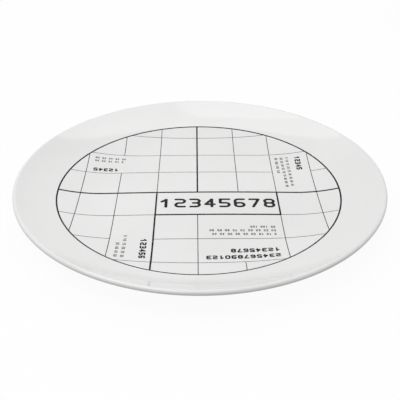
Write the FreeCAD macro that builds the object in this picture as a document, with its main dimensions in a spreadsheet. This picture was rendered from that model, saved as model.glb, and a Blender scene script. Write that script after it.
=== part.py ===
"""Round coupe plate in glazed porcelain with a printed portion grid.

The plate is one revolved porcelain body on a bare foot ring. A coat of glaze covers it, and the
print on the well is a thin layer of ink on the glaze. The origin is the centre of the foot ring's
resting plane and +Z is up. All sizes are in millimetres.
"""
import FreeCAD, Part
import Sketcher
import math
import os

V = FreeCAD.Vector
UP = V(0, 0, 1)
SHORTEST = 1e-6                 # a stretch shorter than this is left out of a wire

# Driving sizes, each one a cell of the document's sheet.
SIZES = {
    # plate
    "overall_diameter": 260.0,
    "lip_radius": 1.75,          # the wall is two lip radii thick
    "coupe_radius": 123.6,       # arc of the side, from the well up to the lip
    "well_radius": 67.5,
    "well_crown": 0.75,          # how far the middle of the well stands proud
    "floor_thickness": 4.6,
    "foot_diameter": 158.0,
    "foot_width": 4.6,
    "foot_recess": 2.6,          # the base inside the foot stands this far off the table
    "foot_edge": 0.6,
    "foot_inner_fillet": 1.2,
    "foot_outer_fillet": 2.0,
    "bare_height": 0.8,          # the glaze is wiped off the foot below this height
    "glaze_thickness": 0.25,
    # print
    "ink_thickness": 0.12,
    "ink_margin": 4.0,           # the ink's layer reaches this far past the ring
    "print_x": -0.8,             # the print sits slightly off the plate's axis
    "print_y": -1.2,
    "ring_margin": 15.6,         # from the outermost grid line out to the ring
    "ring_width": 1.1,
    "zone_row_width": 1.5,
    "zone_column_width": 1.15,
    "grid_row_width": 0.42,
    "grid_column_width": 0.48,
    "line_1": -84.8,
    "line_2": -58.1,
    "line_3": -30.0,
    "line_4": -1.0,
    "line_5": 28.3,
    "line_6": 55.7,
    "line_7": 84.5,
    "caption_clearance": 0.6,    # between a row of figures and the lines beside and ahead of it
    # figures: height, stroke, width of one figure and room that it takes in a row
    "scale_height": 11.4,
    "scale_stroke": 2.1,
    "scale_figure": 8.2,
    "scale_gap": 1.8,            # from the wide box's sides to the first and last numeral
    "heading_height": 4.3,
    "heading_stroke": 1.08,
    "heading_figure": 3.3,
    "heading_pitch": 3.92,
    "heading_leading": 7.4,
    "note_height": 2.2,
    "note_stroke": 0.42,
    "note_figure": 1.3,
    "note_pitch": 1.7,
    "note_leading": 4.15,
    # each caption's first row, from the two grid lines of its cell, and its notes' distance
    "rear_left_x": 4.8,
    "rear_left_y": 5.0,
    "rear_left_gap": 12.3,
    "rear_right_x": -7.8,
    "rear_right_y": -5.2,
    "rear_right_gap": 8.0,
    "front_left_x": -6.0,
    "front_left_y": 4.3,
    "front_left_gap": 12.2,
    "front_right_x": -5.2,
    "front_right_y": 6.1,
    "front_right_gap": 18.3,
}

# Stretches of line, each from one crossing line to another; None runs on to the ring.
# A row keeps to one height and runs along X, a column runs along Y.
ZONE_LINES = [
    ("row", 4, None, None), ("row", 3, 3, 6),
    ("column", 4, 4, None), ("column", 3, None, 4), ("column", 6, 3, 4),
]
GRID_LINES = [
    ("row", 7, None, None), ("row", 6, None, None), ("row", 1, None, None),
    ("row", 5, None, 6), ("row", 5, 7, None),
    ("row", 3, None, 3), ("row", 3, 6, None),
    ("row", 2, None, 2), ("row", 2, 3, None),
    ("column", 1, None, None), ("column", 7, None, None),
    ("column", 2, 6, None), ("column", 2, None, 5),
    ("column", 3, 4, None), ("column", 4, None, 3),
    ("column", 5, 4, None), ("column", 5, None, 1),
    ("column", 6, 4, None), ("column", 6, None, 3),
]

# Captions: name, grid lines at the corner, turn in degrees, where the rows line up, the
# zone line ahead of them, heading rows and the most figures in each row of notes.
CAPTIONS = [
    ("rear_left", 1, 5, 180, "end", 4, ["12345"], [13, 14]),
    ("rear_right", 7, 6, -90, "start", 4, ["12345"], [26, 26, 16]),
    ("front_left", 3, 1, -90, "end", 4, ["123456"], [18, 12]),
    ("front_right", 6, 1, 180, "start", 3, ["234567890123", "12345678"], [25, 28, 10]),
]

# Figures as strokes in a box of 1 by 1: points, whether corners are round, whether it closes.
FIGURES = {
    "0": [([(0, 0), (1, 0), (1, 1), (0, 1)], True, True)],
    "1": [([(0.1, 0.72), (0.58, 1), (0.58, 0)], False, False)],
    "2": [([(0, 1), (1, 1), (1, 0.5), (0, 0.5), (0, 0), (1, 0)], True, False)],
    "3": [([(0, 1), (1, 1), (1, 0.5), (0.3, 0.5)], True, False),
          ([(0.3, 0.5), (1, 0.5), (1, 0), (0, 0)], True, False)],
    "4": [([(0.72, 0), (0.72, 1), (0, 0.3)], False, False),
          ([(0, 0.3), (1, 0.3)], False, False)],
    "5": [([(1, 1), (0, 1), (0, 0.5)], False, False),
          ([(0, 0.5), (1, 0.5), (1, 0), (0, 0)], True, False)],
    "6": [([(0, 0), (1, 0), (1, 0.5), (0, 0.5)], True, True),
          ([(0, 0.25), (0, 1), (1, 1)], True, False)],
    "7": [([(0, 1), (1, 1), (0.35, 0)], False, False)],
    "8": [([(0, 0), (1, 0), (1, 0.5), (0, 0.5)], True, True),
          ([(0, 0.5), (1, 0.5), (1, 1), (0, 1)], True, True)],
    "9": [([(0, 0.5), (1, 0.5), (1, 1), (0, 1)], True, True),
          ([(1, 0.75), (1, 0), (0, 0)], True, False)],
}

doc = FreeCAD.newDocument("coupe_plate")


def make_sheet():
    """Write each driving size into its own cell, with its name as the alias."""
    sheet = doc.addObject("Spreadsheet::Sheet", "sizes")
    for row, (name, value) in enumerate(SIZES.items(), start=1):
        sheet.set("A%d" % row, name)
        sheet.set("B%d" % row, str(value))
        sheet.setAlias("B%d" % row, name)
    doc.recompute()
    return sheet


sheet = make_sheet()


def size(name):
    return float(sheet.get(name))


# The ring lies outside the outermost grid line, on whichever side that is.
RING_RADIUS = "max(-sizes.line_1; sizes.line_7) + sizes.ring_margin"


def ring_radius():
    return max(-size("line_1"), size("line_7")) + size("ring_margin")


# ---------------------------------------------------------------- the plate's section

class Arc:
    """A circular arc of the section, walked from one angle to the other."""

    def __init__(self, centre, radius, first, last):
        self.centre, self.radius, self.first, self.last = centre, radius, first, last
        self.backward = last < first

    def geometry(self):
        circle = Part.Circle(V(self.centre[0], self.centre[1], 0), UP, self.radius)
        return Part.ArcOfCircle(circle, min(self.first, self.last), max(self.first, self.last))


class Line:
    """A straight stretch of the section."""

    def __init__(self, first, last):
        self.first, self.last = first, last
        self.backward = False

    def geometry(self):
        return Part.LineSegment(V(self.first[0], self.first[1], 0), V(self.last[0], self.last[1], 0))


def angle(centre, point):
    return math.atan2(point[1] - centre[1], point[0] - centre[0])


def section(inset):
    """The plate's outline as named curves, drawn `inset` inside the glaze's outer surface."""
    well = size("well_radius")
    crown = size("well_crown")
    coupe = size("coupe_radius")
    lip = size("lip_radius")
    foot = size("foot_diameter") / 2
    inner = foot - size("foot_width")
    edge = size("foot_edge")
    bare = size("bare_height")
    recess = size("foot_recess")
    well_height = recess + size("floor_thickness")

    crown_radius = (well ** 2 + crown ** 2) / (2 * crown)
    lean = math.asin(well / crown_radius)
    crown_centre = (0, well_height + crown - crown_radius)
    coupe_centre = (well + coupe * math.sin(lean), well_height + coupe * math.cos(lean))
    lip_x = size("overall_diameter") / 2 - lip
    lip_drop = math.sqrt((coupe + lip) ** 2 - (lip_x - coupe_centre[0]) ** 2)
    lip_centre = (lip_x, coupe_centre[1] - lip_drop)
    underside = coupe + 2 * lip
    outer_fillet = size("foot_outer_fillet")
    outer_x = foot + outer_fillet
    outer_drop = math.sqrt((underside + outer_fillet) ** 2 - (outer_x - coupe_centre[0]) ** 2)
    outer_centre = (outer_x, coupe_centre[1] - outer_drop)
    inner_fillet = size("foot_inner_fillet")
    inner_centre = (inner - inner_fillet, recess - inner_fillet)

    quarter = math.pi / 2
    to_lip = angle(coupe_centre, lip_centre)
    to_foot = angle(coupe_centre, outer_centre)
    curves = {
        "crown": Arc(crown_centre, crown_radius - inset, quarter, quarter - lean),
        "coupe": Arc(coupe_centre, coupe + inset, -quarter - lean, to_lip),
        "lip": Arc(lip_centre, lip - inset, to_lip + math.pi, to_lip),
        "underside": Arc(coupe_centre, underside - inset, to_lip, to_foot),
        "outer_fillet": Arc(outer_centre, outer_fillet + inset, to_foot + math.pi, math.pi),
        "outer_wall": Line((foot - inset, outer_centre[1]), (foot - inset, bare)),
        "outer_bare": Line((foot, bare), (foot, edge)),
        "outer_edge": Arc((foot - edge, edge), edge, 0, -quarter),
        "rest": Line((foot - edge, 0), (inner + edge, 0)),
        "inner_edge": Arc((inner + edge, edge), edge, -quarter, -math.pi),
        "inner_bare": Line((inner, edge), (inner, bare)),
        "inner_wall": Line((inner + inset, bare), (inner + inset, inner_centre[1])),
        "inner_fillet": Arc(inner_centre, inner_fillet + inset, 0, quarter),
        "base": Line((inner_centre[0], recess + inset), (0, recess + inset)),
    }
    return curves


OUTSIDE = ["crown", "coupe", "lip", "underside", "outer_fillet", "outer_wall"]
FOOT = ["outer_bare", "outer_edge", "rest", "inner_edge", "inner_bare"]
INSIDE = ["inner_wall", "inner_fillet", "base"]
VERTICAL = ["outer_wall", "outer_bare", "inner_bare", "inner_wall"]


class Drawing:
    """A sketch whose curves and constraints are called by name."""

    ORIGIN = (-1, 1)
    UPRIGHT = -2
    LEVEL = -1

    def __init__(self, body, name):
        self.sketch = body.newObject("Sketcher::SketchObject", name)
        planes = body.Origin.OriginFeatures
        self.sketch.AttachmentSupport = [p for p in planes if p.Role == "XZ_Plane"][0]
        self.sketch.MapMode = "FlatFace"
        self.ids = {}
        self.backward = {}

    def add(self, name, curve, construction):
        self.ids[name] = self.sketch.addGeometry(curve.geometry(), construction)
        self.backward[name] = curve.backward

    def start(self, name):
        return self.ids[name], 2 if self.backward[name] else 1

    def end(self, name):
        return self.ids[name], 1 if self.backward[name] else 2

    def centre(self, name):
        return self.ids[name], 3

    def constrain(self, *args):
        return self.sketch.addConstraint(Sketcher.Constraint(*args))

    def tangent(self, first, second):
        self.constrain("Tangent", *self.end(first), *self.start(second))

    def meet(self, first, second):
        self.constrain("Coincident", *first, *second)

    def upright(self, name):
        self.constrain("Vertical", self.ids[name])

    def level(self, name):
        self.constrain("Horizontal", self.ids[name])

    def on_axis(self, point):
        self.constrain("PointOnObject", *point, self.UPRIGHT)

    def bind(self, name, expression, *args):
        """A measured constraint tied to the sheet."""
        index = self.constrain(*args)
        self.sketch.renameConstraint(index, name)
        self.sketch.setExpression("Constraints." + name, expression)

    def across(self, name, expression, point, value):
        self.bind(name, expression, "DistanceX", *self.ORIGIN, *point, value)

    def above(self, name, expression, point, value):
        self.bind(name, expression, "DistanceY", *self.ORIGIN, *point, value)

    def radius(self, curve, expression, value):
        self.bind(curve + "_radius", expression, "Radius", self.ids[curve], value)


WELL_HEIGHT = "sizes.foot_recess + sizes.floor_thickness"


def draw_well(drawing, construction):
    """The well's crown and the coupe side above it, without their outer end."""
    curves = section(0)
    for name in ["crown", "coupe"]:
        drawing.add(name, curves[name], construction)
    well_height = size("foot_recess") + size("floor_thickness")
    drawing.on_axis(drawing.centre("crown"))
    drawing.on_axis(drawing.start("crown"))
    drawing.above("crown_height", WELL_HEIGHT + " + sizes.well_crown", drawing.start("crown"),
                  well_height + size("well_crown"))
    drawing.across("well_edge", "sizes.well_radius", drawing.end("crown"), size("well_radius"))
    drawing.above("well_height", WELL_HEIGHT, drawing.end("crown"), well_height)
    drawing.tangent("crown", "coupe")
    drawing.radius("coupe", "sizes.coupe_radius", size("coupe_radius"))


def draw_section(body, wanted):
    """Draw the plate's section twice, as glazed and under the glaze; `wanted` curves are real."""
    drawing = Drawing(body, "section")
    glazed = section(0)
    bare = section(size("glaze_thickness"))
    draw_well(drawing, "crown" not in wanted)
    for name in OUTSIDE[2:] + FOOT + INSIDE:
        drawing.add(name, glazed[name], name not in wanted)
    for name in OUTSIDE + INSIDE:
        drawing.add(name + "_under", bare[name], name + "_under" not in wanted)
    for side in ["outer", "inner"]:
        wall = side + "_wall"
        ends = [bare[wall].last, glazed[wall].last]
        if side == "inner":
            ends = [glazed[wall].first, bare[wall].first]
        drawing.add(side + "_step", Line(*ends), side + "_step" not in wanted)

    # the glazed outline and the foot
    foot = size("foot_diameter") / 2
    for first, second in zip(OUTSIDE[1:], OUTSIDE[2:]):
        drawing.tangent(first, second)
    for first, second in zip(FOOT, FOOT[1:]):
        drawing.tangent(first, second)
    for first, second in zip(INSIDE, INSIDE[1:]):
        drawing.tangent(first, second)
    drawing.meet(drawing.end("outer_wall"), drawing.start("outer_bare"))
    drawing.meet(drawing.end("inner_bare"), drawing.start("inner_wall"))
    drawing.meet(drawing.centre("coupe"), drawing.centre("underside"))
    for name in VERTICAL:
        drawing.upright(name)
    drawing.level("rest")
    drawing.level("base")
    drawing.constrain("PointOnObject", *drawing.start("rest"), Drawing.LEVEL)
    drawing.on_axis(drawing.end("base"))
    drawing.radius("lip", "sizes.lip_radius", size("lip_radius"))
    drawing.across("lip_place", "sizes.overall_diameter / 2 - sizes.lip_radius",
                   drawing.centre("lip"), size("overall_diameter") / 2 - size("lip_radius"))
    drawing.radius("outer_fillet", "sizes.foot_outer_fillet", size("foot_outer_fillet"))
    drawing.across("foot_outside", "sizes.foot_diameter / 2", drawing.end("outer_wall"), foot)
    drawing.above("outer_glaze_end", "sizes.bare_height", drawing.end("outer_wall"),
                  size("bare_height"))
    drawing.radius("outer_edge", "sizes.foot_edge", size("foot_edge"))
    drawing.radius("inner_edge", "sizes.foot_edge", size("foot_edge"))
    drawing.across("foot_inside", "sizes.foot_diameter / 2 - sizes.foot_width",
                   drawing.start("inner_wall"), foot - size("foot_width"))
    drawing.above("inner_glaze_end", "sizes.bare_height", drawing.start("inner_wall"),
                  size("bare_height"))
    drawing.radius("inner_fillet", "sizes.foot_inner_fillet", size("foot_inner_fillet"))
    drawing.above("base_height", "sizes.foot_recess", drawing.end("base"), size("foot_recess"))

    # the same outline under the glaze, concentric with it
    for names in [OUTSIDE, INSIDE]:
        for first, second in zip(names, names[1:]):
            drawing.tangent(first + "_under", second + "_under")
    for name in ["crown", "coupe", "lip", "underside", "outer_fillet", "inner_fillet"]:
        drawing.meet(drawing.centre(name), drawing.centre(name + "_under"))
    drawing.on_axis(drawing.start("crown_under"))
    drawing.on_axis(drawing.end("base_under"))
    drawing.bind("top_glaze", "sizes.glaze_thickness", "DistanceY",
                 *drawing.start("crown_under"), *drawing.start("crown"), size("glaze_thickness"))
    drawing.bind("base_glaze", "sizes.glaze_thickness", "DistanceY",
                 *drawing.end("base"), *drawing.end("base_under"), size("glaze_thickness"))
    drawing.upright("outer_wall_under")
    drawing.upright("inner_wall_under")
    drawing.level("base_under")
    drawing.meet(drawing.end("outer_wall_under"), drawing.start("outer_step"))
    drawing.meet(drawing.end("outer_step"), drawing.end("outer_wall"))
    drawing.meet(drawing.start("inner_step"), drawing.start("inner_wall"))
    drawing.meet(drawing.end("inner_step"), drawing.start("inner_wall_under"))
    drawing.level("outer_step")
    drawing.level("inner_step")
    return drawing


def close_on_axis(drawing, first, second, low, high):
    """Close a section with a line on the plate's axis, between two named ends."""
    drawing.add("axis_side", Line((0, low), (0, high)), False)
    drawing.meet(first, drawing.start("axis_side"))
    drawing.meet(second, drawing.end("axis_side"))


def revolved(body, drawing):
    turn = body.newObject("PartDesign::Revolution", "turned")
    turn.Profile = drawing.sketch
    turn.ReferenceAxis = (drawing.sketch, ["V_Axis"])
    turn.Angle = 360
    drawing.sketch.Visibility = False
    return body


def new_body(label):
    body = doc.addObject("PartDesign::Body", label)
    body.Label = label
    return body


def under(names):
    return [name + "_under" for name in names]


def porcelain_body():
    """The fired body: its outline lies under the glaze, and the foot's rest is bare."""
    body = new_body("porcelain_body")
    steps = ["outer_step", "inner_step"]
    drawing = draw_section(body, under(OUTSIDE + INSIDE) + FOOT + steps)
    glaze = size("glaze_thickness")
    top = size("foot_recess") + size("floor_thickness") + size("well_crown") - glaze
    close_on_axis(drawing, drawing.end("base_under"), drawing.start("crown_under"),
                  size("foot_recess") + glaze, top)
    return revolved(body, drawing)


def glaze_coat():
    """The glaze on the top, round the lip and down the underside to the foot's bare band."""
    body = new_body("glaze_coat")
    drawing = draw_section(body, OUTSIDE + under(OUTSIDE) + ["outer_step"])
    top = size("foot_recess") + size("floor_thickness") + size("well_crown")
    close_on_axis(drawing, drawing.start("crown_under"), drawing.start("crown"),
                  top - size("glaze_thickness"), top)
    return revolved(body, drawing)


def glaze_foot_well():
    """The glaze on the base inside the foot ring."""
    body = new_body("glaze_foot_well")
    drawing = draw_section(body, INSIDE + under(INSIDE) + ["inner_step"])
    low = size("foot_recess")
    close_on_axis(drawing, drawing.end("base"), drawing.end("base_under"),
                  low, low + size("glaze_thickness"))
    return revolved(body, drawing)


# ---------------------------------------------------------------- the print

def ink_layer():
    """One even layer of ink on the glaze, from which each printed piece is cut."""
    body = new_body("ink_layer")
    drawing = Drawing(body, "section")
    ink = size("ink_thickness")
    limit = ring_radius() + size("ink_margin")
    top = size("foot_recess") + size("floor_thickness") + size("well_crown")
    draw_well(drawing, False)
    raised = section(-ink)
    for name in ["crown", "coupe"]:
        drawing.add(name + "_raised", raised[name], False)
        drawing.meet(drawing.centre(name), drawing.centre(name + "_raised"))
    drawing.on_axis(drawing.start("crown_raised"))
    drawing.tangent("crown_raised", "coupe_raised")
    drawing.bind("ink", "sizes.ink_thickness", "DistanceY",
                 *drawing.start("crown"), *drawing.start("crown_raised"), ink)
    drawing.add("outer_side", Line((limit, top), (limit, top + ink)), False)
    drawing.meet(drawing.end("coupe"), drawing.start("outer_side"))
    drawing.meet(drawing.end("coupe_raised"), drawing.end("outer_side"))
    drawing.upright("outer_side")
    drawing.across("limit", RING_RADIUS + " + sizes.ink_margin", drawing.end("coupe"), limit)
    close_on_axis(drawing, drawing.start("crown"), drawing.start("crown_raised"), top, top + ink)
    return revolved(body, drawing)


PRINT_DEPTH = "sizes.floor_thickness + sizes.coupe_radius"


def place(thing, x, y):
    """Stand a cutting shape in the print, at expressions from the print's own centre."""
    thing.setExpression("Placement.Base.x", "sizes.print_x + " + x)
    thing.setExpression("Placement.Base.y", "sizes.print_y + " + y)
    thing.setExpression("Placement.Base.z", "sizes.foot_recess")


def disc(label, radius):
    cylinder = doc.addObject("Part::Cylinder", label)
    cylinder.setExpression("Radius", radius)
    cylinder.setExpression("Height", PRINT_DEPTH)
    place(cylinder, "0", "0")
    return cylinder


def combine(kind, label, base, tool):
    result = doc.addObject("Part::" + kind, label)
    result.Base = base
    result.Tool = tool
    result.Label = label
    return result


def bar(label, family, run):
    """One straight line of the print, as a tall box: (kind, line, first crossing, last)."""
    kind, line, first, last = run
    width = "sizes.%s_%s_width" % (family, kind)
    reach = "sizes.%s_%s_width / 2" % (family, "column" if kind == "row" else "row")
    low = "-(%s)" % RING_RADIUS if first is None else "sizes.line_%d - %s" % (first, reach)
    high = RING_RADIUS if last is None else "sizes.line_%d + %s" % (last, reach)
    length = "(%s) - (%s)" % (high, low)
    side = "sizes.line_%d - %s / 2" % (line, width)
    box = doc.addObject("Part::Box", label)
    box.setExpression("Height", PRINT_DEPTH)
    if kind == "row":
        box.setExpression("Length", length)
        box.setExpression("Width", width)
        place(box, "(%s)" % low, "(%s)" % side)
    else:
        box.setExpression("Length", width)
        box.setExpression("Width", length)
        place(box, "(%s)" % side, "(%s)" % low)
    return box


def line_bars(label, family, runs):
    """All lines of one family, zone or grid, as one shape."""
    bars = doc.addObject("Part::MultiFuse", label)
    bars.Shapes = [bar("%s_%d" % (label, n), family, run) for n, run in enumerate(runs)]
    return bars


# ---------------------------------------------------------------- figures

def rounded(points, radius, closed):
    """A wire through points whose square corners are rounded."""
    corners = [V(x, y, 0) for x, y in points]
    count = len(corners)
    edges = []
    first_point = corners[0]
    if closed:
        first_point = (corners[0] + corners[-1]) * 0.5
    last_point = first_point if closed else corners[-1]
    cursor = first_point
    turns = range(count) if closed else range(1, count - 1)
    for n in turns:
        corner = corners[n]
        arriving = (corner - corners[n - 1]).normalize()
        leaving = (corners[(n + 1) % count] - corner).normalize()
        if radius > 0:
            start = corner - arriving * radius
            end = corner + leaving * radius
            middle = start + leaving * radius + (arriving - leaving) * (radius / math.sqrt(2))
            if (start - cursor).Length > SHORTEST:
                edges.append(Part.makeLine(cursor, start))
            edges.append(Part.Arc(start, middle, end).toShape())
            cursor = end
        else:
            edges.append(Part.makeLine(cursor, corner))
            cursor = corner
    if (last_point - cursor).Length > SHORTEST:
        edges.append(Part.makeLine(cursor, last_point))
    return Part.Wire(edges)


def thick(wire, half):
    """The outline of a stroke drawn along a wire, with round ends."""
    if len(wire.Edges) > 1:
        return wire.makeOffset2D(half, 0, False, False)
    first, last = [vertex.Point for vertex in wire.Vertexes]
    along = (last - first).normalize() * half
    side = V(-along.y, along.x, 0)
    edges = [
        Part.makeLine(first + side, last + side),
        Part.Arc(last + side, last + along, last - side).toShape(),
        Part.makeLine(last - side, first - side),
        Part.Arc(first - side, first - along, first + side).toShape(),
    ]
    return Part.Wire(edges)


def figure(digit, style):
    """One figure as a tall prism, its box's lower left corner at the origin."""
    stroke = size(style + "_stroke")
    width = size(style + "_figure") - stroke
    height = size(style + "_height") - stroke
    depth = size("floor_thickness") + size("coupe_radius")
    bend = min(width / 2, height / 4)
    solids = []
    for points, is_round, closed in FIGURES[digit]:
        spots = [(x * width + stroke / 2, y * height + stroke / 2) for x, y in points]
        wire = rounded(spots, bend if is_round else 0, closed)
        face = Part.Face(thick(wire, stroke / 2))
        if closed:
            face = face.cut(Part.Face(thick(wire, -stroke / 2)))
        solids.append(face.extrude(V(0, 0, depth)))
    shape = solids[0]
    for solid in solids[1:]:
        shape = shape.fuse(solid)
    return shape.removeSplitter()


class Row:
    """A row of figures, centred on the line through (x, y) and starting or ending there."""

    def __init__(self, text, style, x, y, turn, lines_up, pitch):
        self.text, self.style, self.pitch = text, style, pitch
        self.height = size(style + "_height")
        self.length = pitch * (len(text) - 1) + size(style + "_figure")
        self.begin = 0 if lines_up == "start" else -self.length
        self.spot = V(x, y, size("foot_recess"))
        self.rotation = FreeCAD.Rotation(UP, turn)

    def placed(self, shape, along, across):
        """A copy of a shape, with its own origin this far along and across the row."""
        copy = shape.copy()
        corner = self.rotation.multVec(V(along, across, 0))
        copy.Placement = FreeCAD.Placement(self.spot + corner, self.rotation)
        return copy

    def figures(self):
        shapes = []
        for n, digit in enumerate(self.text):
            if digit == " ":
                continue
            if (self.style, digit) not in PRISMS:
                PRISMS[self.style, digit] = figure(digit, self.style)
            shapes.append(self.placed(PRISMS[self.style, digit], self.begin + n * self.pitch,
                                      -self.height / 2))
        return shapes

    def room(self):
        """The block round the row that grid lines stay out of."""
        clearance = size("caption_clearance")
        depth = size("floor_thickness") + size("coupe_radius")
        block = Part.makeBox(self.length + 2 * clearance, self.height + 2 * clearance, depth)
        return self.placed(block, self.begin - clearance, -self.height / 2 - clearance)


PRISMS = {}


def count_by_fives(first, room):
    """Numbers counting up by fives, as many as a row has room for, and the next number."""
    text = str(first)
    number = first + 5
    while len(text) + 1 + len(str(number)) <= room:
        text += " " + str(number)
        number += 5
    return text, number


def solids(label, shapes):
    """Several tall shapes as one object of the document."""
    group = doc.addObject("Part::Feature", label)
    group.Shape = Part.makeCompound(shapes)
    return group


def printed(label, rows, field):
    """A printed piece: the ink layer where the rows' figures stand on it."""
    shapes = [shape for row in rows for shape in row.figures()]
    return combine("Common", label, field, solids(label + "_prisms", shapes))


def scale_row():
    """The large numerals, spread evenly over the wide box in the middle of the print."""
    text = "12345678"
    side = size("scale_gap") + size("zone_column_width") / 2
    x = size("print_x") + size("line_3") + side
    y = size("print_y") + (size("line_3") + size("line_4")) / 2
    spread = size("line_6") - size("line_3") - 2 * side - size("scale_figure")
    return Row(text, "scale", x, y, 0, "start", spread / (len(text) - 1))


def notes_that_fit(start, ahead, line):
    """How many figures a row of notes holds before it reaches a zone line."""
    reach = V(size("print_x") + size("line_%d" % line) - start.x,
              size("print_y") + size("line_%d" % line) - start.y, 0).dot(ahead)
    kind = "row" if abs(ahead.y) > abs(ahead.x) else "column"
    space = reach - size("zone_%s_width" % kind) / 2 - size("caption_clearance")
    return int((space - size("note_figure")) / size("note_pitch")) + 1


def caption_rows(name, column, row, turn, lines_up, stop, headings, rooms):
    """A caption's heading rows and its rows of notes, stacked away from the first."""
    start = V(size("print_x") + size("line_%d" % column) + size(name + "_x"),
              size("print_y") + size("line_%d" % row) + size(name + "_y"), 0)
    down = FreeCAD.Rotation(UP, turn).multVec(V(0, -1, 0))
    ahead = FreeCAD.Rotation(UP, turn).multVec(V(1 if lines_up == "start" else -1, 0, 0))
    fitting = notes_that_fit(start, ahead, stop)
    heading_rows = []
    for n, text in enumerate(headings):
        spot = start + down * (n * size("heading_leading"))
        heading_rows.append(Row(text, "heading", spot.x, spot.y, turn, lines_up,
                                size("heading_pitch")))
    first_note = (len(headings) - 1) * size("heading_leading") + size(name + "_gap")
    number = 5
    note_rows = []
    for n, room in enumerate(rooms):
        spot = start + down * (first_note + n * size("note_leading"))
        text, number = count_by_fives(number, min(room, fitting))
        note_rows.append(Row(text, "note", spot.x, spot.y, turn, lines_up, size("note_pitch")))
    return {name + "_heading": heading_rows, name + "_notes": note_rows}


def print_pieces():
    """The ring, the lines and the figures, all cut from one ink layer."""
    captions = {}
    for entry in CAPTIONS:
        captions.update(caption_rows(*entry))
    layer = ink_layer()
    inside = disc("inside_ring", RING_RADIUS + " - sizes.ring_width / 2")
    outside = disc("outside_ring", RING_RADIUS + " + sizes.ring_width / 2")
    band = combine("Cut", "ring_band", outside, inside)
    ring = combine("Common", "border_ring", layer, band)
    field = combine("Common", "print_field", layer, inside)
    zones = line_bars("zone_bars", "zone", ZONE_LINES)
    zone_lines = combine("Common", "zone_lines", field, zones)
    fine = line_bars("grid_bars", "grid", GRID_LINES)
    open_bars = combine("Cut", "grid_bars_between_zones", fine, zones)
    rooms = solids("caption_rooms", [row.room() for rows in captions.values() for row in rows])
    clear_bars = combine("Cut", "grid_bars_clear_of_captions", open_bars, rooms)
    grid_lines = combine("Common", "grid_lines", field, clear_bars)
    pieces = [ring, zone_lines, grid_lines, printed("scale_numerals", [scale_row()], field)]
    for label, rows in captions.items():
        pieces.append(printed(label, rows, field))
    return pieces


def check(pieces):
    """Stop if anything in the document failed, or a piece has no sound solid."""
    for thing in doc.Objects:
        if "Invalid" in thing.State or "Error" in thing.State:
            raise RuntimeError("%s failed: %s" % (thing.Label, thing.State))
    for piece in pieces:
        if piece.Shape.isNull() or not piece.Shape.isValid() or not piece.Shape.Solids:
            raise RuntimeError("%s has no valid solid" % piece.Label)


def export(pieces):
    os.makedirs("parts", exist_ok=True)
    for piece in pieces:
        piece.Shape.exportStep("parts/%s.step" % piece.Label)
        box = piece.Shape.BoundBox
        print("%-22s %3d solids %10.1f mm3  z %.2f to %.2f"
              % (piece.Label, len(piece.Shape.Solids), piece.Shape.Volume, box.ZMin, box.ZMax))


pieces = [porcelain_body(), glaze_coat(), glaze_foot_well()] + print_pieces()
doc.recompute()
check(pieces)
export(pieces)
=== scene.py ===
import math

import bmesh
import bpy
from bpy.props import FloatProperty, FloatVectorProperty, IntProperty, PointerProperty
from bpy.types import Operator, Panel, PropertyGroup
from mathutils import Matrix, Vector


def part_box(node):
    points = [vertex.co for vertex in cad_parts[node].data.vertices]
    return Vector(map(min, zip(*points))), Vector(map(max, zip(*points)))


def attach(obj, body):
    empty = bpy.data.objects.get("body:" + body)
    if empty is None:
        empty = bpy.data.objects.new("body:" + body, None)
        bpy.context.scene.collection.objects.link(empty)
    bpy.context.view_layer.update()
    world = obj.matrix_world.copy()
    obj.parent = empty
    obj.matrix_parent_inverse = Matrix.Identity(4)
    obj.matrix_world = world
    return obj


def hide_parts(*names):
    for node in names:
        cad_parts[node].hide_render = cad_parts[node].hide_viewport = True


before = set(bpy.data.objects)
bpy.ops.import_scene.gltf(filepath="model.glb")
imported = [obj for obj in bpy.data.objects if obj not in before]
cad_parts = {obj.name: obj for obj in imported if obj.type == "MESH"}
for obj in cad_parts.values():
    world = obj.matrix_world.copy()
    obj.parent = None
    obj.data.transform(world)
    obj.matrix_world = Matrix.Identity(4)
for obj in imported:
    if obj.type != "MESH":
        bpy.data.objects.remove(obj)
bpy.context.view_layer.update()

bl_info = {
    "name": "Printed coupe plate",
    "version": (1, 0, 0),
    "blender": (4, 5, 0),
    "location": "3D View > Sidebar > Plate",
    "description": "Finishes a glazed coupe plate: porcelain, glaze, print and a plain studio",
    "category": "Object",
}

MM = 0.001
WELD = 0.002 * MM                # points of a printed outline closer than this are one point
ON_AXIS = 1e-7                   # a point closer to an axis or a cut than this lies on it
FACES_UP = 0.5                   # a face whose normal rises more than this is on top
SHARP_TURN = math.radians(35)    # an edge that turns more than this stays sharp

PRINT_NODES = {
    "lines": ["zone_lines", "grid_lines"],
    "figures": [
        "scale_numerals",
        "rear_left_heading", "rear_left_notes",
        "rear_right_heading", "rear_right_notes",
        "front_left_heading", "front_left_notes",
        "front_right_heading", "front_right_notes",
    ],
}


def half_width(node):
    """Half of a round node's width, in metres."""
    low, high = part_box(node)
    return (high.x - low.x) / 2


def middle(node):
    """The middle of a node's box."""
    low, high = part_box(node)
    return (low + high) / 2


# Lamps: where each one hangs, its width and its depth, in metres.
LAMPS = {
    "overhead": ((-0.4, -0.35, 1.25), 1.3, 1.0),
    "rear": ((0.0, 0.62, 1.2), 1.3, 0.6),
    "softbox": ((-0.12, 0.445, 1.02), 0.32, 0.26),
}
SENSOR_WIDTH = 36.0              # of the camera, in its own millimetres
NEAREST_SEEN = 0.01


# ---------------------------------------------------------------- sizes and colours

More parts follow.
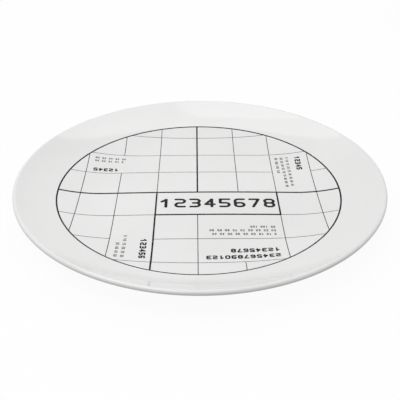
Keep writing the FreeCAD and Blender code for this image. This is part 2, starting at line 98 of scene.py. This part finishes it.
class PlateSizes(PropertyGroup):
    """The plate's section, from which the smooth glaze and body are turned."""

    rim_radius: FloatProperty(
        name="Rim radius", description="Axis to the outside of the lip",
        default=half_width("glaze_coat"), unit="LENGTH", precision=5)
    lip_radius: FloatProperty(
        name="Lip radius", description="Radius of the lip's round edge, half of the wall",
        default=1.75 * MM, unit="LENGTH", precision=5)
    coupe_radius: FloatProperty(
        name="Coupe radius", description="Radius of the side's arc, from the well to the lip",
        default=123.6 * MM, unit="LENGTH", precision=5)
    well_radius: FloatProperty(
        name="Well radius", description="Axis to where the side starts to rise",
        default=67.5 * MM, unit="LENGTH", precision=5)
    well_crown: FloatProperty(
        name="Well crown", description="How far the middle of the well stands proud",
        default=0.75 * MM, unit="LENGTH", precision=5)
    well_height: FloatProperty(
        name="Well height", description="The table to the edge of the well",
        default=7.2 * MM, unit="LENGTH", precision=5)
    foot_radius: FloatProperty(
        name="Foot radius", description="Axis to the outside of the foot ring",
        default=79.0 * MM, unit="LENGTH", precision=5)
    foot_width: FloatProperty(
        name="Foot width", description="Thickness of the foot ring",
        default=4.6 * MM, unit="LENGTH", precision=5)
    foot_recess: FloatProperty(
        name="Foot recess", description="The table to the base inside the foot",
        default=2.6 * MM, unit="LENGTH", precision=5)
    foot_edge: FloatProperty(
        name="Foot edge", description="Radius of the foot's resting edges",
        default=0.6 * MM, unit="LENGTH", precision=5)
    inner_fillet: FloatProperty(
        name="Inner fillet", description="Radius where the base meets the foot inside",
        default=1.2 * MM, unit="LENGTH", precision=5)
    outer_fillet: FloatProperty(
        name="Outer fillet", description="Radius where the underside meets the foot outside",
        default=2.0 * MM, unit="LENGTH", precision=5)
    bare_height: FloatProperty(
        name="Bare height", description="The glaze stops this far above the table",
        default=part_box("glaze_foot_well")[0].z, unit="LENGTH", precision=5)
    glaze: FloatProperty(
        name="Glaze thickness", description="Thickness of the glaze",
        default=half_width("glaze_coat") - half_width("porcelain_body"),
        unit="LENGTH", precision=5)
    turns: IntProperty(
        name="Turns", description="Facets round the plate", default=288, min=32)


class PrintSizes(PropertyGroup):
    """The print's own sizes."""

    ink: FloatProperty(
        name="Ink thickness", description="How far the print stands above the glaze",
        default=0.05 * MM, unit="LENGTH", precision=6)
    ring_radius: FloatProperty(
        name="Ring radius", description="The print's centre to the outside of its ring",
        default=half_width("border_ring"), unit="LENGTH", precision=5)
    ring_width: FloatProperty(
        name="Ring width", description="Width of the printed ring",
        default=1.1 * MM, unit="LENGTH", precision=5)
    weave: FloatProperty(
        name="Drape step", description="Longest stretch of a line that stays straight",
        default=2.5 * MM, unit="LENGTH", precision=5)
    straightness: FloatProperty(
        name="Straightness", description="Outline points that turn less than this are dropped",
        default=math.radians(2.5), subtype="ANGLE")


class Finishes(PropertyGroup):
    """Colours and finishes."""

    glaze_colour: FloatVectorProperty(
        name="Glaze", description="The white of the glazed porcelain",
        default=(0.83, 0.83, 0.825), subtype="COLOR", min=0, max=1)
    glaze_shade: FloatVectorProperty(
        name="Glaze shade", description="The slightly deeper white where the glaze lies thicker",
        default=(0.805, 0.807, 0.80), subtype="COLOR", min=0, max=1)
    speck_colour: FloatVectorProperty(
        name="Specks", description="Rare mineral specks in the glaze",
        default=(0.42, 0.38, 0.33), subtype="COLOR", min=0, max=1)
    bisque_colour: FloatVectorProperty(
        name="Bisque", description="The bare fired porcelain of the foot",
        default=(0.77, 0.745, 0.70), subtype="COLOR", min=0, max=1)
    ink_colour: FloatVectorProperty(
        name="Ink", description="The print",
        default=(0.003, 0.003, 0.0035), subtype="COLOR", min=0, max=1)
    ink_worn: FloatVectorProperty(
        name="Thin ink", description="The print where its coat is thinner",
        default=(0.009, 0.009, 0.010), subtype="COLOR", min=0, max=1)
    wave: FloatProperty(
        name="Glaze waves", description="Height of the glaze's slow waves",
        default=0.012 * MM, unit="LENGTH", precision=6)
    peel: FloatProperty(
        name="Glaze ripple", description="Height of the glaze's fine ripple",
        default=0.0006 * MM, unit="LENGTH", precision=7)


class Studio(PropertyGroup):
    """Camera, light and floor."""

    lens: FloatProperty(
        name="Lens", description="Focal length on a 36 mm sensor", default=61.03,
        unit="CAMERA")
    distance: FloatProperty(
        name="Distance", description="Camera to the middle of the print", default=0.4881,
        unit="LENGTH", precision=4)
    elevation: FloatProperty(
        name="Elevation", description="Camera above the horizon",
        default=math.radians(31.30), subtype="ANGLE")
    azimuth: FloatProperty(
        name="Azimuth", description="Camera round the plate, from the front",
        default=math.radians(-0.267), subtype="ANGLE")
    pan: FloatProperty(
        name="Pan", description="Turn of the camera to the left of the print's middle",
        default=math.radians(-0.097), subtype="ANGLE")
    tilt: FloatProperty(
        name="Tilt", description="Turn of the camera above the print's middle",
        default=math.radians(-0.656), subtype="ANGLE")
    roll: FloatProperty(
        name="Roll", description="Lean of the camera", default=math.radians(0.195),
        subtype="ANGLE")
    sky: FloatProperty(
        name="Sky", description="Strength of the even light from all round", default=0.485)
    overhead: FloatProperty(
        name="Overhead", description="Power of the wide lamp above the plate", default=8.5,
        unit="POWER")
    rear: FloatProperty(
        name="Rear", description="Power of the wide lamp above and behind the plate",
        default=2.6, unit="POWER")
    softbox: FloatProperty(
        name="Softbox", description="Power of the small lamp that shines on the far rim",
        default=0.25, unit="POWER")
    floor_colour: FloatVectorProperty(
        name="Floor", description="The table's colour as seen", default=(0.90, 0.90, 0.90),
        subtype="COLOR", min=0, max=1)
    floor_bounce: FloatVectorProperty(
        name="Floor bounce", description="The table's colour as it lights the plate's underside",
        default=(0.34, 0.333, 0.32), subtype="COLOR", min=0, max=1)
    floor_glow: FloatProperty(
        name="Floor white", description="Share of plain white in the floor as seen",
        default=0.945, subtype="FACTOR", min=0, max=1)
    floor_size: FloatProperty(
        name="Floor size", description="Side of the square floor", default=6.0, unit="LENGTH")


# ---------------------------------------------------------------- the section

def arc_points(centre, radius, first, last, count):
    """Points along an arc, both ends included."""
    points = []
    for n in range(count + 1):
        turn = first + (last - first) * n / count
        points.append((centre[0] + radius * math.cos(turn), centre[1] + radius * math.sin(turn)))
    return points


class Section:
    """The plate's section: a crowned well, one arc up to a round lip, and a foot ring."""

    CROWN_STEPS, COUPE_STEPS, LIP_STEPS, UNDER_STEPS, FILLET_STEPS = 20, 44, 28, 36, 10

    def __init__(self, sizes):
        self.sizes = sizes
        well, crown = sizes.well_radius, sizes.well_crown
        coupe, lip = sizes.coupe_radius, sizes.lip_radius
        self.crown_radius = (well ** 2 + crown ** 2) / (2 * crown)
        self.lean = math.asin(well / self.crown_radius)
        self.crown_centre = (0.0, sizes.well_height + crown - self.crown_radius)
        self.coupe_centre = (well + coupe * math.sin(self.lean),
                             sizes.well_height + coupe * math.cos(self.lean))
        self.lip_centre = self.touching(sizes.rim_radius - lip, coupe + lip)
        self.under_radius = coupe + 2 * lip
        self.outer_centre = self.touching(sizes.foot_radius + sizes.outer_fillet,
                                          self.under_radius + sizes.outer_fillet)
        self.inner_radius = sizes.foot_radius - sizes.foot_width
        self.inner_centre = (self.inner_radius - sizes.inner_fillet,
                             sizes.foot_recess - sizes.inner_fillet)

    def touching(self, across, reach):
        """The point this far from the axis and from the coupe arc's centre, below it."""
        aside = across - self.coupe_centre[0]
        return across, self.coupe_centre[1] - math.sqrt(reach ** 2 - aside ** 2)

    def toward(self, point):
        """The direction of a point from the coupe arc's centre."""
        return math.atan2(point[1] - self.coupe_centre[1], point[0] - self.coupe_centre[0])

    def height(self, radius):
        """Height of the glazed top at this distance from the axis."""
        if radius < self.sizes.well_radius:
            return self.crown_centre[1] + math.sqrt(self.crown_radius ** 2 - radius ** 2)
        aside = radius - self.coupe_centre[0]
        return self.coupe_centre[1] - math.sqrt(self.sizes.coupe_radius ** 2 - aside ** 2)

    def outside(self, inset):
        """From the axis over the top and the lip, down to the glaze's end on the foot."""
        s = self.sizes
        quarter = math.pi / 2
        to_lip, to_foot = self.toward(self.lip_centre), self.toward(self.outer_centre)
        points = arc_points(self.crown_centre, self.crown_radius - inset,
                            quarter, quarter - self.lean, self.CROWN_STEPS)
        points[0] = (0.0, points[0][1])
        points += arc_points(self.coupe_centre, s.coupe_radius + inset,
                             -quarter - self.lean, to_lip, self.COUPE_STEPS)[1:]
        points += arc_points(self.lip_centre, s.lip_radius - inset,
                             to_lip + math.pi, to_lip, self.LIP_STEPS)[1:]
        points += arc_points(self.coupe_centre, self.under_radius - inset,
                             to_lip, to_foot, self.UNDER_STEPS)[1:]
        points += arc_points(self.outer_centre, s.outer_fillet + inset,
                             to_foot + math.pi, math.pi, self.FILLET_STEPS)[1:]
        return points + [(s.foot_radius - inset, s.bare_height)]

    def inside(self, inset):
        """From the glaze's end inside the foot, up and in to the axis."""
        s = self.sizes
        across, base = self.inner_centre[0], s.foot_recess + inset
        points = [(self.inner_radius + inset, s.bare_height)]
        points += arc_points(self.inner_centre, s.inner_fillet + inset,
                             0, math.pi / 2, self.FILLET_STEPS)
        points += [(across * (1 - n / self.CROWN_STEPS), base)
                   for n in range(1, self.CROWN_STEPS + 1)]
        return points

    def bare_foot(self):
        """The foot's resting edge, from its outside to its inside."""
        s = self.sizes
        outer, inner = s.foot_radius - s.foot_edge, self.inner_radius + s.foot_edge
        points = [(s.foot_radius, s.bare_height)]
        points += arc_points((outer, s.foot_edge), s.foot_edge, 0, -math.pi / 2, self.FILLET_STEPS)
        points += arc_points((inner, s.foot_edge), s.foot_edge, -math.pi / 2, -math.pi,
                             self.FILLET_STEPS)
        return points + [(self.inner_radius, s.bare_height)]


# ---------------------------------------------------------------- meshes

def around(steps):
    """Cosine and sine of each of the even steps of a full turn."""
    turns = [2 * math.pi * n / steps for n in range(steps)]
    return [(math.cos(turn), math.sin(turn)) for turn in turns]


def finished_mesh(name, bm):
    """Make an object of a closed shell, with outward normals and smooth shading."""
    bmesh.ops.recalc_face_normals(bm, faces=bm.faces)
    mesh = bpy.data.meshes.new(name)
    bm.to_mesh(mesh)
    bm.free()
    mesh.polygons.foreach_set("use_smooth", [True] * len(mesh.polygons))
    mesh.set_sharp_from_angle(angle=SHARP_TURN)
    thing = bpy.data.objects.new(name, mesh)
    bpy.context.scene.collection.objects.link(thing)
    return thing


def turned(name, points, turns):
    """Turn an outline that starts and ends on the axis into a closed shell."""
    bm = bmesh.new()
    rings = []
    for radius, height in points:
        if radius < ON_AXIS:
            rings.append([bm.verts.new((0, 0, height))] * turns)
        else:
            rings.append([bm.verts.new((radius * east, radius * north, height))
                          for east, north in around(turns)])
    for first, second in zip(rings, rings[1:]):
        for n in range(turns):
            corners = [first[n], first[n - 1], second[n - 1], second[n]]
            corners = [c for k, c in enumerate(corners) if c is not corners[k - 1]]
            if len(corners) > 2:
                bm.faces.new(corners)
    return finished_mesh(name, bm)


def ring_band(name, section, centre, outer, width, ink, turns):
    """A printed ring that lies on the dish, with its true round edges."""
    bm = bmesh.new()
    inner = outer - width
    corners = [(inner, 0.0), (inner, ink), (outer, ink), (outer, 0.0)]
    loops = []
    for east, north in around(turns):
        loop = []
        for radius, lift in corners:
            x, y = centre.x + radius * east, centre.y + radius * north
            loop.append(bm.verts.new((x, y, section.height(math.hypot(x, y)) + lift)))
        loops.append(loop)
    for n in range(turns):
        for k in range(4):
            bm.faces.new([loops[n][k], loops[n - 1][k], loops[n - 1][k - 3], loops[n][k - 3]])
    return finished_mesh(name, bm)


def flat_outline(node, straightness):
    """The top of a printed node, laid flat and freed of points that its outline doesn't need."""
    bm = bmesh.new()
    bm.from_mesh(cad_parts[node].data)
    bmesh.ops.delete(bm, geom=[f for f in bm.faces if f.normal.z < FACES_UP],
                     context="FACES")
    for vert in bm.verts:
        vert.co.z = 0
    bmesh.ops.remove_doubles(bm, verts=bm.verts, dist=WELD)
    bmesh.ops.dissolve_limit(bm, angle_limit=straightness, verts=bm.verts, edges=bm.edges)
    straight = [vert for vert in bm.verts
                if len(vert.link_edges) == 2 and vert.calc_edge_angle(0) < straightness]
    bmesh.ops.dissolve_verts(bm, verts=straight)
    return bm


def cut_every(bm, step):
    """Cut a flat outline along X and along Y, so that no stretch is longer than the step."""
    for axis in (Vector((1, 0, 0)), Vector((0, 1, 0))):
        spans = [axis.dot(vert.co) for vert in bm.verts]
        for k in range(math.ceil(min(spans) / step), math.floor(max(spans) / step) + 1):
            geometry = bm.verts[:] + bm.edges[:] + bm.faces[:]
            bmesh.ops.bisect_plane(bm, geom=geometry, dist=ON_AXIS,
                                   plane_co=axis * (k * step), plane_no=axis)


def draped(name, node, section, sizes):
    """A printed node laid on the smooth dish: its outline follows the surface under it."""
    bm = flat_outline(node, sizes.straightness)
    cut_every(bm, sizes.weave)
    bmesh.ops.triangulate(bm, faces=bm.faces)
    bottom = bm.verts[:]
    raised = bmesh.ops.extrude_face_region(bm, geom=bm.faces[:], use_keep_orig=True)
    top = [item for item in raised["geom"] if isinstance(item, bmesh.types.BMVert)]
    for verts, lift in ((bottom, 0.0), (top, sizes.ink)):
        for vert in verts:
            vert.co.z = section.height(math.hypot(vert.co.x, vert.co.y)) + lift
    return finished_mesh(name, bm)


# ---------------------------------------------------------------- materials

# How fine each pattern is: noise waves and cells to a metre.
GLAZE_TONE, GLAZE_GLOSS, GLAZE_WAVES, GLAZE_RIPPLE, GLAZE_SPECKS = 14.0, 42.0, 38.0, 520.0, 95.0
BISQUE_GRAIN, BISQUE_MOTTLE = 2400.0, 160.0
INK_CLOUD, INK_GLOSS, INK_GRAIN = 900.0, 300.0, 1500.0
TABLE_CLOUD = 60.0


def darker(colour, share):
    """A colour brought down to a share of itself."""
    return [part * share for part in colour]


def looked_at(nodes, links):
    """1 for a ray from the camera, or from a mirror or glass, and 0 for all other light."""
    path = nodes.new("ShaderNodeLightPath")
    seen = path.outputs["Is Camera Ray"]
    for ray in ("Is Glossy Ray", "Is Transmission Ray"):
        either = nodes.new("ShaderNodeMath")
        either.operation = "MAXIMUM"
        links.new(seen, either.inputs[0])
        links.new(path.outputs[ray], either.inputs[1])
        seen = either.outputs["Value"]
    return seen


class Shader:
    """A new material and short ways to add and join its nodes."""

    def __init__(self, name):
        self.material = bpy.data.materials.new(name)
        self.material.use_nodes = True
        self.nodes = self.material.node_tree.nodes
        self.links = self.material.node_tree.links
        self.principled = self.nodes["Principled BSDF"]
        self.place = self.add("ShaderNodeTexCoord").outputs["Object"]

    def add(self, kind, **values):
        """A new node; values are its attributes."""
        node = self.nodes.new(kind)
        for key, value in values.items():
            setattr(node, key, value)
        return node

    def join(self, output, socket):
        """Link one node's output to another's socket."""
        self.links.new(output, socket)

    def noise(self, scale, detail=3.0, roughness=0.5):
        """A cloudy pattern fixed to the piece."""
        node = self.add("ShaderNodeTexNoise")
        node.inputs["Scale"].default_value = scale
        node.inputs["Detail"].default_value = detail
        node.inputs["Roughness"].default_value = roughness
        self.join(self.place, node.inputs["Vector"])
        return node.outputs["Fac"]

    def stretch(self, value, from_low, from_high, to_low, to_high, smooth=False):
        """Move a value from one span to another, held at the ends."""
        node = self.add("ShaderNodeMapRange")
        if smooth:
            node.interpolation_type = "SMOOTHSTEP"
        for socket, number in zip(node.inputs[1:5], (from_low, from_high, to_low, to_high)):
            socket.default_value = number
        self.join(value, node.inputs["Value"])
        return node.outputs["Result"]

    def blend(self, share, first, second):
        """Mix two colours, each a socket or three numbers."""
        node = self.add("ShaderNodeMix", data_type="RGBA")
        self.join(share, node.inputs["Factor"])
        for socket, colour in ((node.inputs[6], first), (node.inputs[7], second)):
            if isinstance(colour, bpy.types.NodeSocket):
                self.join(colour, socket)
            else:
                socket.default_value = (*colour, 1.0)
        return node.outputs[2]

    def maths(self, operation, first, second):
        """Work out one value from two, each a socket or a number."""
        node = self.add("ShaderNodeMath", operation=operation)
        for socket, value in zip(node.inputs, (first, second)):
            if isinstance(value, bpy.types.NodeSocket):
                self.join(value, socket)
            else:
                socket.default_value = value
        return node.outputs["Value"]

    def bump(self, height, distance, under=None):
        """Relief this deep, on top of another relief if one is given."""
        node = self.add("ShaderNodeBump")
        node.inputs["Strength"].default_value = 1.0
        node.inputs["Distance"].default_value = distance
        self.join(height, node.inputs["Height"])
        if under is not None:
            self.join(under, node.inputs["Normal"])
        return node.outputs["Normal"]

    def set(self, socket, value):
        """Give a socket of the shader one value for the whole surface."""
        self.principled.inputs[socket].default_value = value


def glaze_material(looks):
    """Smooth white glaze: slow waves, a fine ripple, a faint change of tone and rare specks."""
    shader = Shader("white_glaze")
    tone = shader.stretch(shader.noise(GLAZE_TONE, 2.0), 0.35, 0.65, 0.0, 1.0, smooth=True)
    white = shader.blend(tone, looks.glaze_colour, looks.glaze_shade)
    cells = shader.add("ShaderNodeTexVoronoi")
    cells.inputs["Scale"].default_value = GLAZE_SPECKS
    shader.join(shader.place, cells.inputs["Vector"])
    chance = shader.add("ShaderNodeSeparateColor")
    shader.join(cells.outputs["Color"], chance.inputs["Color"])
    spot = shader.stretch(cells.outputs["Distance"], 0.010, 0.018, 1.0, 0.0, smooth=True)
    rare = shader.maths("GREATER_THAN", chance.outputs["Red"], 0.955)
    faint = shader.maths("MULTIPLY", shader.maths("MULTIPLY", spot, rare), 0.5)
    shader.join(shader.blend(faint, white, looks.speck_colour),
                shader.principled.inputs["Base Color"])
    shader.join(shader.stretch(shader.noise(GLAZE_GLOSS, 4.0), 0.3, 0.7, 0.03, 0.06),
                shader.principled.inputs["Roughness"])
    waves = shader.bump(shader.noise(GLAZE_WAVES, 1.5), looks.wave)
    ripple = shader.bump(shader.noise(GLAZE_RIPPLE, 2.0), looks.peel, waves)
    shader.join(ripple, shader.principled.inputs["Normal"])
    shader.set("IOR", 1.5)
    shader.set("Specular IOR Level", 0.5)
    return shader.material


def bisque_material(looks):
    """Bare fired porcelain: a dry fine grain, greyed where the foot rubs on the table."""
    shader = Shader("bare_porcelain")
    grain = shader.noise(BISQUE_GRAIN, 3.0, 0.6)
    mottle = shader.noise(BISQUE_MOTTLE, 3.0)
    colour = shader.blend(shader.stretch(mottle, 0.35, 0.65, 0.0, 0.35), looks.bisque_colour,
                          darker(looks.bisque_colour, 0.86))
    height = shader.add("ShaderNodeSeparateXYZ")
    shader.join(shader.place, height.inputs["Vector"])
    rubbed = shader.stretch(height.outputs["Z"], 0.0, 0.25 * MM, 0.55, 0.0, smooth=True)
    patchy = shader.maths("MULTIPLY", rubbed, shader.stretch(mottle, 0.4, 0.6, 0.2, 1.0))
    shader.join(shader.blend(patchy, colour, darker(looks.bisque_colour, 0.62)),
                shader.principled.inputs["Base Color"])
    shader.join(shader.stretch(grain, 0.3, 0.7, 0.62, 0.82),
                shader.principled.inputs["Roughness"])
    shader.join(shader.bump(grain, 0.03 * MM), shader.principled.inputs["Normal"])
    shader.set("Specular IOR Level", 0.35)
    return shader.material


def ink_material(looks):
    """Fired black print: nearly even, a little thinner in places, duller than the glaze."""
    shader = Shader("black_print")
    cloud = shader.stretch(shader.noise(INK_CLOUD, 4.0, 0.6), 0.45, 0.75, 0.0, 1.0, smooth=True)
    shader.join(shader.blend(cloud, looks.ink_colour, looks.ink_worn),
                shader.principled.inputs["Base Color"])
    shader.join(shader.stretch(shader.noise(INK_GLOSS, 3.0), 0.3, 0.7, 0.22, 0.34),
                shader.principled.inputs["Roughness"])
    shader.join(shader.bump(shader.noise(INK_GRAIN, 2.0), 0.0015 * MM),
                shader.principled.inputs["Normal"])
    shader.set("Specular IOR Level", 0.12)
    return shader.material


def as_seen(shader, plain, seen, share):
    """Show `seen` where the surface is looked at or mirrored, and `plain` to all other light."""
    mixer = shader.add("ShaderNodeMixShader")
    shader.join(shader.maths("MULTIPLY", looked_at(shader.nodes, shader.links), share),
                mixer.inputs["Fac"])
    shader.join(plain, mixer.inputs[1])
    shader.join(seen, mixer.inputs[2])
    return mixer.outputs["Shader"]


def floor_material(studio):
    """A white matt table. A share of plain white keeps it white, and its shadow stays soft.

    It lights the plate with its bounce colour, which is deeper than the colour that is seen.
    """
    shader = Shader("white_table")
    shade = shader.stretch(shader.noise(TABLE_CLOUD, 3.0), 0.3, 0.7, 0.0, 1.0)
    seen = shader.blend(shade, studio.floor_colour, darker(studio.floor_colour, 0.99))
    path = shader.add("ShaderNodeLightPath")
    shader.join(shader.blend(path.outputs["Is Camera Ray"], studio.floor_bounce, seen),
                shader.principled.inputs["Base Color"])
    shader.set("Roughness", 0.9)
    shader.set("Specular IOR Level", 0.1)
    glow = shader.add("ShaderNodeEmission")
    surface = as_seen(shader, shader.principled.outputs["BSDF"], glow.outputs["Emission"],
                      studio.floor_glow)
    output = [node for node in shader.nodes if node.type == "OUTPUT_MATERIAL"][0]
    shader.join(surface, output.inputs["Surface"])
    return shader.material


def dress(thing, material):
    """Give an object one material."""
    thing.data.materials.clear()
    thing.data.materials.append(material)


def stand_in(thing, material, slot, *nodes):
    """Finish a piece that rides with the plate and stands for CAD nodes."""
    dress(thing, material)
    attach(thing, "root")
    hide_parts(*nodes)


# ---------------------------------------------------------------- operators

class PlateOperator(Operator):
    """What the plate's operators share."""

    bl_options = {"REGISTER", "UNDO"}


class PLATE_OT_porcelain(PlateOperator):
    """Turn the fired body, with its bare foot ring"""

    bl_idname = "plate.porcelain"
    bl_label = "Porcelain body"

    def execute(self, context):
        sizes = context.scene.plate_sizes
        section = Section(sizes)
        outline = (section.outside(sizes.glaze) + section.bare_foot()
                   + section.inside(sizes.glaze))
        body = turned("porcelain_turned", outline, sizes.turns)
        stand_in(body, bisque_material(context.scene.plate_finishes), "porcelain",
                 "porcelain_body")
        return {"FINISHED"}


class PLATE_OT_glaze(PlateOperator):
    """Turn the glaze: the coat over the plate and the patch inside the foot"""

    bl_idname = "plate.glaze"
    bl_label = "Glaze"

    def execute(self, context):
        sizes = context.scene.plate_sizes
        section = Section(sizes)
        material = glaze_material(context.scene.plate_finishes)
        coat = turned("glaze_smooth", section.outside(0) + section.outside(sizes.glaze)[::-1],
                      sizes.turns)
        stand_in(coat, material, "glaze", "glaze_coat")
        patch = turned("glaze_under_smooth",
                       section.inside(0)[::-1] + section.inside(sizes.glaze), sizes.turns)
        stand_in(patch, material, "glaze", "glaze_foot_well")
        return {"FINISHED"}


class PLATE_OT_print_lines(PlateOperator):
    """Lay the printed ring and the lines on the glaze"""

    bl_idname = "plate.print_lines"
    bl_label = "Printed lines"

    def execute(self, context):
        plate, sizes = context.scene.plate_sizes, context.scene.print_sizes
        section = Section(plate)
        material = ink_material(context.scene.plate_finishes)
        ring = ring_band("ring_print", section, middle("border_ring"), sizes.ring_radius,
                         sizes.ring_width, sizes.ink, 2 * plate.turns)
        stand_in(ring, material, "ink", "border_ring")
        for node in PRINT_NODES["lines"]:
            stand_in(draped(node + "_print", node, section, sizes), material, "ink", node)
        return {"FINISHED"}


class PLATE_OT_print_figures(PlateOperator):
    """Lay the printed numerals on the glaze"""

    bl_idname = "plate.print_figures"
    bl_label = "Printed numerals"

    def execute(self, context):
        sizes = context.scene.print_sizes
        section = Section(context.scene.plate_sizes)
        material = ink_material(context.scene.plate_finishes)
        for node in PRINT_NODES["figures"]:
            stand_in(draped(node + "_print", node, section, sizes), material, "ink", node)
        return {"FINISHED"}


def add_floor(studio):
    """The table under the plate."""
    bm = bmesh.new()
    bmesh.ops.create_grid(bm, x_segments=8, y_segments=8, size=studio.floor_size / 2)
    mesh = bpy.data.meshes.new("table")
    bm.to_mesh(mesh)
    bm.free()
    floor = bpy.data.objects.new("table", mesh)
    bpy.context.scene.collection.objects.link(floor)
    dress(floor, floor_material(studio))


def add_world(studio):
    """An even sky: plain white where it is seen, softer as light."""
    world = bpy.data.worlds.new("studio")
    bpy.context.scene.world = world
    world.use_nodes = True
    nodes, links = world.node_tree.nodes, world.node_tree.links
    background = nodes["Background"]
    background.inputs["Color"].default_value = (1, 1, 1, 1)
    strength = nodes.new("ShaderNodeMapRange")
    strength.inputs["To Min"].default_value = studio.sky
    strength.inputs["To Max"].default_value = 1.0
    links.new(looked_at(nodes, links), strength.inputs["Value"])
    links.new(strength.outputs["Result"], background.inputs["Strength"])


def add_lamp(name, place, aim, wide, deep, power):
    """A soft lamp that looks at a point."""
    data = bpy.data.lights.new(name, "AREA")
    data.shape = "RECTANGLE"
    data.size = wide
    data.size_y = deep
    data.energy = power
    lamp = bpy.data.objects.new(name, data)
    lamp.location = place
    lamp.rotation_mode = "QUATERNION"
    lamp.rotation_quaternion = (Vector(aim) - Vector(place)).to_track_quat("-Z", "Y")
    bpy.context.scene.collection.objects.link(lamp)


def add_camera(studio, aim):
    """A camera on a sphere round the aim, then turned by its pan, tilt and roll."""
    flat = math.cos(studio.elevation)
    back = Vector((math.sin(studio.azimuth) * flat, -math.cos(studio.azimuth) * flat,
                   math.sin(studio.elevation)))
    right = (-back).cross(Vector((0, 0, 1))).normalized()
    up = right.cross(-back)
    facing = Matrix((right, up, back)).transposed()
    turn = Matrix.Rotation(studio.tilt, 3, right) @ Matrix.Rotation(studio.pan, 3, up)
    ahead = turn @ (-back)
    turn = Matrix.Rotation(studio.roll, 3, ahead) @ turn
    data = bpy.data.cameras.new("camera")
    data.lens = studio.lens
    data.sensor_width = SENSOR_WIDTH
    data.clip_start = NEAREST_SEEN
    camera = bpy.data.objects.new("camera", data)
    camera.matrix_world = Matrix.Translation(aim + back * studio.distance) @ (
        turn @ facing).to_4x4()
    bpy.context.scene.collection.objects.link(camera)
    bpy.context.scene.camera = camera


class PLATE_OT_studio(PlateOperator):
    """Set the table, the light and the camera"""

    bl_idname = "plate.studio"
    bl_label = "Studio"

    def execute(self, context):
        studio = context.scene.plate_studio
        centre = middle("border_ring")
        aim = Vector((centre.x, centre.y, context.scene.plate_sizes.well_height))
        add_floor(studio)
        add_world(studio)
        for name, (place, wide, deep) in LAMPS.items():
            add_lamp(name, place, aim, wide, deep, getattr(studio, name))
        add_camera(studio, aim)
        context.scene.view_settings.view_transform = "Standard"
        return {"FINISHED"}


class PLATE_PT_panel(Panel):
    """The plate's operators and their sizes, colours and studio settings."""

    bl_label = "Coupe plate"
    bl_idname = "PLATE_PT_panel"
    bl_space_type = "VIEW_3D"
    bl_region_type = "UI"
    bl_category = "Plate"

    def draw(self, context):
        for operator in OPERATORS:
            self.layout.operator(operator.bl_idname)
        for name in GROUPS:
            box = self.layout.box()
            group = getattr(context.scene, name)
            for key in group.__annotations__:
                box.prop(group, key)


OPERATORS = (PLATE_OT_porcelain, PLATE_OT_glaze, PLATE_OT_print_lines, PLATE_OT_print_figures,
             PLATE_OT_studio)
GROUPS = {"plate_sizes": PlateSizes, "print_sizes": PrintSizes, "plate_finishes": Finishes,
          "plate_studio": Studio}


def register():
    """Add the settings, the operators and the panel."""
    for group in GROUPS.values():
        bpy.utils.register_class(group)
    for name, group in GROUPS.items():
        setattr(bpy.types.Scene, name, PointerProperty(type=group))
    for operator in OPERATORS:
        bpy.utils.register_class(operator)
    bpy.utils.register_class(PLATE_PT_panel)


def unregister():
    """Take away what register adds."""
    bpy.utils.unregister_class(PLATE_PT_panel)
    for operator in reversed(OPERATORS):
        bpy.utils.unregister_class(operator)
    for name in GROUPS:
        delattr(bpy.types.Scene, name)
    for group in reversed(list(GROUPS.values())):
        bpy.utils.unregister_class(group)


def main():
    """Run every operator in order."""
    register()
    for piece in (bpy.ops.plate.porcelain, bpy.ops.plate.glaze, bpy.ops.plate.print_lines,
                  bpy.ops.plate.print_figures, bpy.ops.plate.studio):
        piece()


if __name__ == "__main__":
    main()
